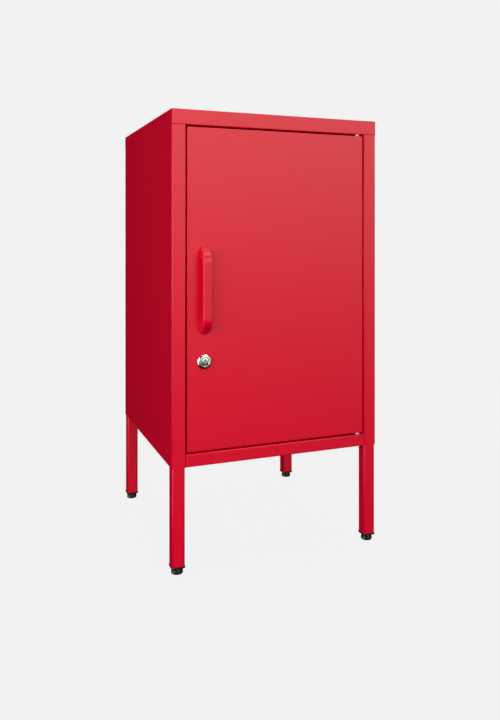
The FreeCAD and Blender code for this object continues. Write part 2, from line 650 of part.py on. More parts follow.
def lock_plug():
    """Turning plug with its keyway in front and a square drive for the cam behind."""
    body = new_body("lock_plug", PULL_X, FRONT, LOCK_Z)
    face = "sizes.plug_recess - sizes.rosette_reach"
    radius = "sizes.plug_wide / 2"
    turned(body, (("0", face), (radius, face), (radius, CAM_FRONT), ("0", CAM_FRONT)))
    drive = new_sketch(body, "XZ", f"-{CAM_FRONT}")
    half = "sizes.cam_square / 2"
    draw_box(drive, (f"-{half}", f"-{half}"), (half, half))
    pad(body, drive, "sizes.cam_thick", back=True)
    keyway = new_sketch(body, "XZ", "sizes.rosette_reach")
    draw_box(keyway, ("-sizes.keyway_wide / 2", "-sizes.keyway_tall / 2"),
             ("sizes.keyway_wide / 2", "sizes.keyway_tall / 2"))
    pocket(body, keyway, "sizes.keyway_deep")
    hole = new_sketch(body, "XZ", f"-({CAM_FRONT} + sizes.cam_thick)")
    draw_circle(hole, "sizes.cam_screw_wide / 2 + sizes.running_clearance")
    pocket(body, hole, "sizes.cam_thick + sizes.cam_screw_bite", forward=True)


def lock_cam():
    """Cam plate, hanging straight down when the lock is open."""
    body = new_body("lock_cam", PULL_X, f"{FRONT} + {CAM_FRONT}", LOCK_Z)
    sketch = new_sketch(body, "XZ")
    side = "sizes.cam_wide / 2"
    draw_box(sketch, (f"-{side}", "-sizes.cam_long"), (side, side))
    pad(body, sketch, "sizes.cam_thick", back=True)
    round_edges(body, edges_along(body.Tip.Shape, "y"), "sizes.cam_wide * 0.45")
    hole = new_sketch(body, "XZ")
    half = "(sizes.cam_square / 2 + sizes.running_clearance)"
    draw_box(hole, (f"-{half}", f"-{half}"), (half, half))
    pocket(body, hole, "sizes.cam_thick")


def cam_screw():
    """Screw that holds the cam on the plug."""
    body = new_body("cam_screw", PULL_X, f"{FRONT} + {CAM_FRONT} + sizes.cam_thick", LOCK_Z)
    shank = "sizes.cam_screw_wide / 2"
    head = "sizes.cam_head_wide / 2"
    tip = "sizes.running_clearance - sizes.cam_screw_bite"
    turned(body, (("0", tip), (shank, tip), (shank, "0"), (head, "0"), (head, "sizes.cam_head_tall"),
                  ("0", "sizes.cam_head_tall")))


def door_stop(label, level, up):
    """Small plate welded to the rear edge of a frame return, behind the closed door."""
    body = new_body(label, f"sizes.stop_inset - {HALF}", f"{FRONT} + sizes.frame_return", level)
    sketch = new_sketch(body, "XZ")
    side = "sizes.stop_wide / 2"
    draw_box(sketch, (f"-{side}", f"-({up}) * sizes.stop_drop"), (side, f"({up}) * sizes.gauge"))
    pad(body, sketch, "2 * sizes.gauge", back=True)


def door_buffer(label, level, up):
    """Rubber button on a door stop; the door return rests against it when shut."""
    middle = f"{level} - ({up}) * (sizes.door_gap + sizes.buffer_wide / 2 - sizes.gauge)"
    body = new_body(label, f"sizes.stop_inset - {HALF}", f"{FRONT} + sizes.frame_return", middle)
    sketch = new_sketch(body, "XZ")
    draw_circle(sketch, "sizes.buffer_wide / 2")
    pad(body, sketch, "sizes.frame_return - sizes.door_return - sizes.buffer_clearance")


def shelf_strip(label, side, north):
    """Slotted channel on a side wall; the slots take the shelf clips."""
    body = new_body(label, f"{side} * ({HALF} - sizes.gauge)", north, STRIP_FOOT)
    sketch = new_sketch(body, "XY")
    half = "sizes.strip_wide / 2"
    face = f"(-1 * {side} * sizes.strip_depth)"
    inner = f"(-1 * {side} * (sizes.strip_depth - sizes.strip_gauge))"
    rib = f"({half} - sizes.strip_gauge)"
    draw_loop(sketch, (("0", f"-{half}"), (face, f"-{half}"), (face, half), ("0", half), ("0", rib),
                       (inner, rib), (inner, f"-{rib}"), ("0", f"-{rib}")))
    length = "(sizes.tall - sizes.underside - 2 * sizes.gauge - 2 * sizes.strip_margin)"
    pad(body, sketch, length)
    slot = new_sketch(body, "YZ", face)
    middle = "sizes.slot_pitch / 2"
    draw_box(slot, ("-sizes.slot_wide / 2", f"{middle} - sizes.slot_tall / 2"),
             ("sizes.slot_wide / 2", f"{middle} + sizes.slot_tall / 2"))
    cut = pocket(body, slot, "2 * sizes.strip_gauge", forward=side > 0)
    row = body.newObject("PartDesign::LinearPattern", f"{label}_slots")
    row.Originals = [cut]
    row.Direction = (slot, ["V_Axis"])
    row.Mode = 1
    row.setExpression("Offset", "sizes.slot_pitch")
    row.setExpression("Occurrences", f"floor({length} / sizes.slot_pitch)")
    body.Tip = row
    DOC.recompute()


def shelf_clip(label, side, north):
    """Clip with a tongue in a strip slot and a ledge under the shelf."""
    body = new_body(label, f"{side} * {STRIP_FACE}", f"{north} - sizes.slot_wide / 2 + sizes.clip_clearance",
                    CLIP_Z)
    sketch = new_sketch(body, "XZ")
    half = "(sizes.slot_tall / 2 - sizes.clip_clearance)"
    tongue = f"{side} * sizes.clip_tongue"
    tab = f"-1 * {side} * sizes.clip_gauge"
    ledge = f"-1 * {side} * sizes.clip_ledge"
    draw_loop(sketch, ((tongue, f"-{half}"), ("0", f"-{half}"), ("0", "-sizes.clip_drop"),
                       (tab, "-sizes.clip_drop"), (tab, f"{half} - sizes.clip_gauge"),
                       (ledge, f"{half} - sizes.clip_gauge"), (ledge, half), (tongue, half)))
    pad(body, sketch, "sizes.slot_wide - 2 * sizes.clip_clearance", back=True)


def shelf():
    """Lift-off shelf with down-turned edges resting on the clips."""
    body = new_body("shelf", "0", "0", SHELF_FOOT)
    sketch = new_sketch(body, "XY")
    side = f"({STRIP_FACE} - sizes.shelf_clearance)"
    front = f"({FRONT} + sizes.shelf_setback)"
    back = f"({BACK} - 2 * sizes.gauge - sizes.shelf_back_gap)"
    draw_box(sketch, (f"-{side}", front), (side, back))
    pad(body, sketch, "sizes.shelf_lip")
    names = edges_along(body.Tip.Shape, "z") + top_edges(body.Tip.Shape)
    round_edges(body, names, "sizes.bend + sizes.gauge")
    hollow = new_sketch(body, "XY")
    draw_box(hollow, (f"-({side} - sizes.gauge)", f"{front} + sizes.gauge"),
             (f"{side} - sizes.gauge", f"{back} - sizes.gauge"))
    pocket(body, hollow, "sizes.shelf_lip - sizes.gauge", forward=True)


def build():
    """Make every sub-part of the cabinet."""
    top_cap()
    bottom_panel()
    back_panel()
    inset = f"(sizes.gauge + {LEG} / 2)"
    for word, side in (("left", -1), ("right", 1)):
        side_panel(f"side_panel_{word}", side)
        east = f"{side} * ({HALF} - {inset})"
        for end, face, inward in (("front", FRONT, "+"), ("rear", BACK, "-")):
            corner = f"{face} {inward} {inset}"
            strip = f"{face} {inward} sizes.strip_inset"
            leg(f"leg_{end}_{word}", east, corner)
            leg_insert(f"leg_insert_{end}_{word}", east, corner)
            foot_stud(f"foot_stud_{end}_{word}", east, corner)
            foot_pad(f"foot_pad_{end}_{word}", east, corner)
            shelf_strip(f"shelf_strip_{end}_{word}", side, strip)
            shelf_clip(f"shelf_clip_{end}_{word}", side, strip)
    door_skin()
    door_rib()
    pull()
    for word, way, door_edge, frame_edge in (("upper", 1, DOOR_TOP, HEADER_UNDER),
                                             ("lower", -1, DOOR_FOOT, SILL_TOP)):
        hinge_pin(f"hinge_pin_{word}", door_edge, way)
        hinge_bush(f"hinge_bush_{word}", frame_edge, way)
        pull_screw(f"pull_screw_{word}", way)
        door_stop(f"door_stop_{word}", frame_edge, way)
        door_buffer(f"door_buffer_{word}", frame_edge, way)
    lock_barrel()
    lock_nut()
    lock_plug()
    lock_cam()
    cam_screw()
    shelf()


def check_and_write():
    """Stop on any failed object or bad solid, then write one STEP file per sub-part."""
    DOC.recompute()
    for item in DOC.Objects:
        if "Invalid" in item.State or "Error" in item.State:
            raise RuntimeError(f"{item.Label} failed: {item.State}")
    for part in PARTS:
        if part.Shape.isNull() or not part.Shape.isValid() or not part.Shape.Solids:
            raise RuntimeError(f"{part.Label} has no valid solid")
    os.makedirs("parts", exist_ok=True)
    for part in PARTS:
        part.Shape.exportStep(f"parts/{part.Label}.step")
        print(f"{part.Label}: {len(part.Shape.Solids)} solid, {part.Shape.Volume:.1f} mm3")


fill_sheet()
build()
check_and_write()
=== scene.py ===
"""A single-door steel bedside cabinet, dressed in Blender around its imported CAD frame.

Each sub-assembly is a class that builds and dresses its own pieces. Sizes are in
metres in the frame's own axes: +Z up, the door faces -Y.
"""

import logging
import math
from collections.abc import Callable, Sequence
from dataclasses import dataclass, field
from enum import Enum

import bmesh
import bpy
from mathutils import Matrix, Vector


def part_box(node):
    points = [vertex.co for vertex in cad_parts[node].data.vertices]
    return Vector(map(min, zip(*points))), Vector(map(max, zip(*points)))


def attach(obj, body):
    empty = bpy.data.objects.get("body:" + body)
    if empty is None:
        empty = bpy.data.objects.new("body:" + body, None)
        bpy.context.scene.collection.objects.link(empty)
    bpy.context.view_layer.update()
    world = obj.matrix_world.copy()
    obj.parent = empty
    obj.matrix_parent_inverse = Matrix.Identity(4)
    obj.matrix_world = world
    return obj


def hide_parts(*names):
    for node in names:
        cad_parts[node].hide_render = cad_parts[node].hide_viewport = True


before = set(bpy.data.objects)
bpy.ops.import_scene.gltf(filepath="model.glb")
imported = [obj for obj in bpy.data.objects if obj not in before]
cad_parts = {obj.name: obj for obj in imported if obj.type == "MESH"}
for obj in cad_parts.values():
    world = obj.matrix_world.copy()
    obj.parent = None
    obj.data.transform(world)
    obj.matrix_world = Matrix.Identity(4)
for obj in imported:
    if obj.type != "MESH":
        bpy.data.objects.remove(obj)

log = logging.getLogger("cabinet")

TURN = 2 * math.pi
MM = 0.001
CREASE = 34.0
PLASTIC_IOR = 1.5

Colour = tuple[float, float, float]
Radius = float | Callable[[float], float]
Section = tuple[float, Radius]


class Slot(Enum):
    """The record's material slots."""

    RED = "red_powder_coat"
    BLACK = "black_moulding"
    NYLON = "white_nylon"
    CHROME = "chrome"
    ZINC = "zinc_steel"
    RUBBER = "black_rubber"


class Body(Enum):
    """The bodies of the frame that pieces ride on."""

    CASE = "case"
    DOOR = "door"
    LOCK = "lock"
    SHELF = "shelf"


class Corner(Enum):
    """The four corners that carry a leg and a levelling foot."""

    FRONT_LEFT = "front_left"
    FRONT_RIGHT = "front_right"
    REAR_LEFT = "rear_left"
    REAR_RIGHT = "rear_right"

    @property
    def body(self) -> str:
        """Name of the body that this corner's foot is."""
        return f"foot_{self.value}"


class Level(Enum):
    """The upper and the lower of a pair."""

    UPPER = "upper"
    LOWER = "lower"


# ---------------------------------------------------------------- finishes


class Shader:
    """A material's node tree, with short calls to fill it."""

    def __init__(self, name: str) -> None:
        """Starts a material that has a principled shader and object coordinates.

        Args:
            name: the material's name.
        """
        self.material = bpy.data.materials.new(name)
        self.material.use_nodes = True
        self.tree = self.material.node_tree
        self.surface = self.tree.nodes["Principled BSDF"]
        self.place = self.tree.nodes.new("ShaderNodeTexCoord").outputs["Object"]

    def constant(self, **values: float | Colour) -> None:
        """Sets the shader's own sockets to plain values.

        Args:
            values: socket names in lower case with underscores, and their values.
        """
        for key, value in values.items():
            socket = next(
                s
                for s in self.surface.inputs
                if s.name.lower().replace(" ", "_") == key
            )
            if socket.type == "RGBA":
                value = (*value, 1.0)
            socket.default_value = value

    def add(
        self, kind: str, links: dict[str, bpy.types.NodeSocket] | None = None
    ) -> bpy.types.Node:
        """Adds one node.

        Args:
            kind: the node's type after "ShaderNode".
            links: input name, and the output socket that feeds it.

        Returns:
            The new node.
        """
        node = self.tree.nodes.new(f"ShaderNode{kind}")
        for name, socket in (links or {}).items():
            self.tree.links.new(socket, node.inputs[name])
        return node

    def noise(
        self, scale: float, detail: float = 2.0, stretch: Colour | None = None
    ) -> bpy.types.NodeSocket:
        """A noise field over the piece.

        Args:
            scale: waves per metre.
            detail: octaves of finer noise.
            stretch: scale of each axis, for a directional grain.

        Returns:
            The noise value, about 0.5 in the middle.
        """
        place = self.place
        if stretch:
            moved = self.add("Mapping", {"Vector": place})
            moved.inputs["Scale"].default_value = stretch
            place = moved.outputs["Vector"]
        made = self.add("TexNoise", {"Vector": place})
        made.inputs["Scale"].default_value = scale
        made.inputs["Detail"].default_value = detail
        return made.outputs["Fac"]

    def spread(
        self, value: bpy.types.NodeSocket, low: float, high: float
    ) -> bpy.types.NodeSocket:
        """Maps the middle of a noise field onto a range.

        Args:
            value: the field.
            low: result where the field is 0.3.
            high: result where the field is 0.7.

        Returns:
            The mapped value.
        """
        made = self.add("MapRange", {"Value": value})
        made.inputs["From Min"].default_value = 0.3
        made.inputs["From Max"].default_value = 0.7
        made.inputs["To Min"].default_value = low
        made.inputs["To Max"].default_value = high
        return made.outputs["Result"]

    def blend(
        self, share: bpy.types.NodeSocket, first: Colour, second: Colour
    ) -> bpy.types.NodeSocket:
        """Mixes two colours by a field.

        Args:
            share: 0 gives the first colour and 1 the second.
            first: linear colour.
            second: linear colour.

        Returns:
            The mixed colour.
        """
        made = self.add("Mix", {"Factor": share})
        made.data_type = "RGBA"
        low, high = (s for s in made.inputs if s.type == "RGBA")
        low.default_value = (*first, 1.0)
        high.default_value = (*second, 1.0)
        return next(s for s in made.outputs if s.type == "RGBA")

    def bump(
        self,
        height: bpy.types.NodeSocket,
        depth: float,
        under: bpy.types.NodeSocket | None = None,
    ) -> bpy.types.NodeSocket:
        """Raises the surface by a field.

        Args:
            height: the field.
            depth: how high a field value of 1 stands, in metres.
            under: the normal from a coarser bump.

        Returns:
            The bent normal.
        """
        made = self.add("Bump", {"Height": height})
        made.inputs["Distance"].default_value = depth
        if under:
            self.tree.links.new(under, made.inputs["Normal"])
        return made.outputs["Normal"]

    def feed(self, **sockets: bpy.types.NodeSocket) -> None:
        """Links fields to the shader.

        Args:
            sockets: shader socket names in lower case with underscores, and outputs.
        """
        for key, socket in sockets.items():
            target = next(
                s
                for s in self.surface.inputs
                if s.name.lower().replace(" ", "_") == key
            )
            self.tree.links.new(socket, target)


def scaled(colour: Colour, factor: float) -> Colour:
    """Returns a colour with each part multiplied."""
    return tuple(part * factor for part in colour)


@dataclass(frozen=True)
class PowderCoat:
    """Semi-gloss polyester powder over steel sheet, with a fine orange peel."""

    slot: Slot = Slot.RED
    colour: Colour = (0.78, 0.0008, 0.0272)
    colour_scale: float = 7.0
    colour_swing: float = 0.006
    roughness: float = 0.28
    gloss_scale: float = 16.0
    gloss_swing: float = 0.006
    peel_scale: float = 420.0
    peel_depth: float = 0.0000018
    dust_scale: float = 2600.0
    dust_depth: float = 0.0000003

    def material(self) -> bpy.types.Material:
        """Builds the finish.

        Returns:
            Its material.
        """
        shader = Shader(self.slot.value)
        shader.constant(ior=PLASTIC_IOR)
        tint = shader.blend(
            shader.spread(shader.noise(self.colour_scale, 1.0), 0.0, 1.0),
            scaled(self.colour, 1.0 - self.colour_swing),
            scaled(self.colour, 1.0 + self.colour_swing),
        )
        gloss = shader.spread(
            shader.noise(self.gloss_scale, 1.0),
            self.roughness - self.gloss_swing,
            self.roughness + self.gloss_swing,
        )
        peel = shader.bump(shader.noise(self.peel_scale), self.peel_depth)
        dust = shader.bump(shader.noise(self.dust_scale, 1.0), self.dust_depth, peel)
        shader.feed(base_color=tint, roughness=gloss, normal=dust)
        return shader.material


@dataclass(frozen=True)
class Moulding:
    """Injection-moulded plastic or rubber with a fine tool texture."""

    slot: Slot
    colour: Colour
    roughness: float
    grain_depth: float
    glow: float = 0.0
    glow_reach: float = 1.5 * MM
    colour_scale: float = 160.0
    colour_swing: float = 0.07
    gloss_scale: float = 900.0
    gloss_swing: float = 0.05
    grain_scale: float = 3200.0

    def material(self) -> bpy.types.Material:
        """Builds the finish.

        Returns:
            Its material.
        """
        shader = Shader(self.slot.value)
        shader.constant(ior=PLASTIC_IOR)
        if self.glow:
            shader.constant(
                subsurface_weight=self.glow,
                subsurface_radius=(1.0, 0.95, 0.85),
                subsurface_scale=self.glow_reach,
            )
        tint = shader.blend(
            shader.spread(shader.noise(self.colour_scale, 3.0), 0.0, 1.0),
            scaled(self.colour, 1.0 - self.colour_swing),
            scaled(self.colour, 1.0 + self.colour_swing),
        )
        gloss = shader.spread(
            shader.noise(self.gloss_scale, 3.0),
            self.roughness - self.gloss_swing,
            self.roughness + self.gloss_swing,
        )
        grain = shader.bump(shader.noise(self.grain_scale), self.grain_depth)
        shader.feed(base_color=tint, roughness=gloss, normal=grain)
        return shader.material


@dataclass(frozen=True)
class Plating:
    """Bright or dull plating on metal, with hairline polishing marks."""

    slot: Slot
    colour: Colour
    roughness: float
    hairline_depth: float
    colour_swing: float
    colour_scale: float = 300.0
    gloss_scale: float = 700.0
    smoothest: float = 0.8
    roughest: float = 1.25
    hairline_scale: float = 240.0
    hairline_stretch: Colour = (1.0, 1.0, 22.0)

    def material(self) -> bpy.types.Material:
        """Builds the finish.

        Returns:
            Its material.
        """
        shader = Shader(self.slot.value)
        shader.constant(metallic=1.0)
        tint = shader.blend(
            shader.spread(shader.noise(self.colour_scale, 4.0), 0.0, 1.0),
            scaled(self.colour, 1.0 - self.colour_swing),
            scaled(self.colour, 1.0 + self.colour_swing),
        )
        gloss = shader.spread(
            shader.noise(self.gloss_scale, 4.0),
            self.roughness * self.smoothest,
            self.roughness * self.roughest,
        )
        hairlines = shader.noise(self.hairline_scale, stretch=self.hairline_stretch)
        brushed = shader.bump(hairlines, self.hairline_depth)
        shader.feed(base_color=tint, roughness=gloss, normal=brushed)
        return shader.material


class Workshop:
    """Holds one material of each finish and dresses pieces with them."""

    same_point = 0.001 * MM
    sharp = 50.0

    def __init__(self) -> None:
        """Builds every finish once."""
        self.finishes = {
            finish.slot: finish.material()
            for finish in (
                PowderCoat(),
                Moulding(Slot.BLACK, (0.012, 0.013, 0.013), 0.30, 0.0000025),
                Moulding(Slot.NYLON, (0.80, 0.79, 0.75), 0.42, 0.0000020, 0.25),
                Moulding(Slot.RUBBER, (0.016, 0.016, 0.017), 0.62, 0.0000060),
                Plating(Slot.CHROME, (0.80, 0.83, 0.81), 0.16, 0.0000004, 0.02),
                Plating(Slot.ZINC, (0.58, 0.60, 0.63), 0.34, 0.0000016, 0.10),
            )
        }

    def dress(self, piece: bpy.types.Object, slot: Slot) -> bpy.types.Object:
        """Gives a piece its finish and names its slot.

        Args:
            piece: a new piece or a carried-over node.
            slot: the slot whose finish it takes.

        Returns:
            The same piece.
        """
        piece.data.materials.clear()
        piece.data.materials.append(self.finishes[slot])
        for face in piece.data.polygons:
            face.material_index = 0
        return piece

    def break_edges(self, node: str, slot: Slot, width: float = 0.15 * MM) -> bpy.types.Object:
        """Dresses a CAD node and takes the sharpness off its edges.

        Args:
            node: name of the node.
            slot: the slot whose finish it takes.
            width: width of each broken edge.

        Returns:
            The node's object.
        """
        piece = self.dress(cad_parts[node], slot)
        weld = piece.modifiers.new("weld", "WELD")
        weld.merge_threshold = self.same_point
        bevel = piece.modifiers.new("broken_edge", "BEVEL")
        bevel.width = width
        bevel.segments = 2
        bevel.limit_method = "ANGLE"
        bevel.angle_limit = math.radians(self.sharp)
        bevel.harden_normals = True
        return piece


# ---------------------------------------------------------------- shaping


def facing_front(centre: Vector) -> Matrix:
    """Returns a place whose own +Z points out of the door, along -Y."""
    return Matrix.Translation(centre) @ Matrix.Rotation(math.radians(90), 4, "X")


def facing_back(centre: Vector) -> Matrix:
    """Returns a place whose own +Z points to the back, along +Y."""
    return Matrix.Translation(centre) @ Matrix.Rotation(math.radians(-90), 4, "X")


def facing_up(centre: Vector) -> Matrix:
    """Returns a place whose own +Z points up."""
    return Matrix.Translation(centre)


def facing_down(centre: Vector) -> Matrix:
    """Returns a place whose own +Z points down."""
    return Matrix.Translation(centre) @ Matrix.Rotation(math.radians(180), 4, "X")


def in_metres(sections: Sequence[Section]) -> list[Section]:
    """Turns sections in millimetres into metres.

    Args:
        sections: heights and radii in millimetres.

    Returns:
        The same sections in metres.
    """
    return [
        (height * MM, radius if callable(radius) else radius * MM)
        for height, radius in sections
    ]


def lathe(
    mesh: bmesh.types.BMesh,
    sections: Sequence[Section],
    place: Matrix,
    around: int = 64,
    bored: bool = False,
) -> None:
    """Turns a row of sections into one closed skin.

    Args:
        mesh: the mesh that takes the skin.
        sections: height along the axis, and a radius or a radius by angle.
        place: where the axis stands.
        around: points around each section.
        bored: whether the last section joins the first, as on a ring.
    """
    rows = []
    for height, radius in sections:
        row = []
        for step in range(around):
            angle = TURN * step / around
            reach = radius(angle) if callable(radius) else radius
            point = Vector((reach * math.cos(angle), reach * math.sin(angle), height))
            row.append(mesh.verts.new(place @ point))
        rows.append(row)
    spans = list(zip(rows, rows[1:]))
    if bored:
        spans.append((rows[-1], rows[0]))
    else:
        mesh.faces.new(rows[0][::-1])
        mesh.faces.new(rows[-1])
    for low, high in spans:
        for step in range(around):
            after = (step + 1) % around
            mesh.faces.new((low[step], low[after], high[after], high[step]))


def thread(
    start: float, end: float, crest: float, pitch: float, depth: float
) -> list[Section]:
    """Sections of a screw thread.

    Args:
        start: height of the first section.
        end: height of the last section.
        crest: radius over the thread.
        pitch: height of one turn.
        depth: how deep the thread is cut.

    Returns:
        The sections, with the first and last turned down to the root.
    """
    rows_per_turn = 6
    steps = max(4, round(abs(end - start) / pitch * rows_per_turn))
    rows: list[Section] = []
    for step in range(steps + 1):
        height = start + (end - start) * step / steps
        run_out = min(1.0, step / 4, (steps - step) / 4)

        def reach(angle: float, height: float = height, run_out: float = run_out) -> float:
            """Works out the thread's radius at one angle.

            Args:
                angle: the angle round the axis.
                height: height of the section.
                run_out: how much of the thread is left near its ends.

            Returns:
                The radius.
            """
            phase = (height / pitch - angle / TURN) % 1.0
            ridge = min(1.0, 1.6 * (1.0 - abs(2.0 * phase - 1.0)))
            return crest - depth + depth * ridge * run_out

        rows.append((height, reach))
    return rows


def hexagon(flats: float, limit: float) -> Callable[[float], float]:
    """Radius by angle of a hexagon whose corners are turned down.

    Args:
        flats: size across the flats.
        limit: largest radius.

    Returns:
        The radius as a function of the angle.
    """

    def reach(angle: float) -> float:
        """Returns the hexagon's radius at one angle."""
        off = angle % (TURN / 6) - TURN / 12
        return min(limit, flats / 2 / math.cos(off))

    return reach


def square(side: float, limit: float) -> Callable[[float], float]:
    """Radius by angle of a square bar whose corners are turned down.

    Args:
        side: size across the flats.
        limit: largest radius.

    Returns:
        The radius as a function of the angle.
    """

    def reach(angle: float) -> float:
        """Returns the square's radius at one angle."""
        off = (angle + TURN / 8) % (TURN / 4) - TURN / 8
        return min(limit, side / 2 / math.cos(off))

    return reach


def finish_mesh(
    mesh: bmesh.types.BMesh, name: str, crease: float = CREASE
) -> bpy.types.Object:
    """Turns a mesh under construction into a linked piece.

    Args:
        mesh: the mesh, which is used up.
        name: the piece's name.
        crease: angle in degrees above which an edge stays sharp.

    Returns:
        The piece.
    """
    bmesh.ops.recalc_face_normals(mesh, faces=mesh.faces[:])
    data = bpy.data.meshes.new(name)
    mesh.to_mesh(data)
    mesh.free()
    data.shade_smooth()
    data.set_sharp_from_angle(angle=math.radians(crease))
    piece = bpy.data.objects.new(name, data)
    bpy.context.scene.collection.objects.link(piece)
    return piece


def prism(
    outline: Sequence[tuple[float, float]], low: float, high: float, place: Matrix
) -> bpy.types.Object:
    """A cutter with a flat outline.

    Args:
        outline: corners in the place's own XY plane.
        low: height of its floor.
        high: height of its top.
        place: where it stands.

    Returns:
        The cutter as a piece that a cut uses up.
    """
    mesh = bmesh.new()
    floor = [mesh.verts.new(place @ Vector((x, y, low))) for x, y in outline]
    top = [mesh.verts.new(place @ Vector((x, y, high))) for x, y in outline]
    mesh.faces.new(floor[::-1])
    mesh.faces.new(top)
    for step in range(len(outline)):
        after = (step + 1) % len(outline)
        mesh.faces.new((floor[step], floor[after], top[after], top[step]))
    return finish_mesh(mesh, "cutter")


def carve(piece: bpy.types.Object, cutters: Sequence[bpy.types.Object]) -> None:
    """Cuts away the cutters from a piece and discards them.

    Args:
        piece: the piece to cut.
        cutters: closed solids.
    """
    for cutter in cutters:
        cut = piece.modifiers.new("cut", "BOOLEAN")
        cut.object = cutter
        cut.operation = "DIFFERENCE"
        cut.solver = "EXACT"
    bpy.context.view_layer.update()
    graph = bpy.context.evaluated_depsgraph_get()
    data = bpy.data.meshes.new_from_object(piece.evaluated_get(graph))
    piece.modifiers.clear()
    piece.data = data
    data.set_sharp_from_angle(angle=math.radians(CREASE))
    for cutter in cutters:
        bpy.data.objects.remove(cutter)


def middle(node: str) -> Vector:
    """Returns the middle of a node's box."""
    low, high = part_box(node)
    return (low + high) / 2


# ---------------------------------------------------------------- studio


@dataclass(frozen=True)
class SoftBox:
    """One flat lamp, or a card that only polished pieces mirror."""

    name: str
    place: Colour
    aim: Colour
    size: tuple[float, float]
    power: float
    diffuse: bool = True
    glossy: bool = True
    colour: Colour = (0.97, 0.96, 1.0)

    def hang(self) -> None:
        """Hangs the lamp and faces it to the point it aims at."""
        data = bpy.data.lights.new(self.name, "AREA")
        data.shape = "RECTANGLE"
        data.size, data.size_y = self.size
        data.energy = self.power
        data.color = self.colour
        way = Vector(self.aim) - Vector(self.place)
        lamp = bpy.data.objects.new(self.name, data)
        lamp.location = self.place
        lamp.rotation_euler = way.to_track_quat("-Z", "Y").to_euler()
        lamp.visible_camera = False
        lamp.visible_diffuse = self.diffuse
        lamp.visible_glossy = self.glossy
        bpy.context.scene.collection.objects.link(lamp)


CHEST = (0.0, -0.1, 0.45)
SOFT_BOXES = (
    SoftBox("left_box", (-2.6, -0.7, 0.7), CHEST, (2.0, 2.0), 27.5),
    SoftBox("front_box", (-1.55, -2.1, 0.95), CHEST, (1.6, 1.6), 35.5, glossy=False),
    SoftBox("top_box", (0.5, 0.1, 2.6), (0.0, 0.0, 0.5), (2.0, 2.0), 17.0),
    SoftBox("rear_box", (0.4, 3.0, 1.3), (0.0, 0.0, 0.4), (2.4, 2.4), 45.0, glossy=False),
    SoftBox("right_box", (2.8, 0.6, 0.9), CHEST, (2.0, 2.0), 26.0, glossy=False),
    SoftBox("left_card", (-2.7, -0.1, 0.6), CHEST, (2.8, 4.4), 62.0, diffuse=False),
    SoftBox("top_card", (0.5, 0.0, 2.7), (0.0, 0.0, 0.4), (3.6, 3.0), 52.0, diffuse=False),
)


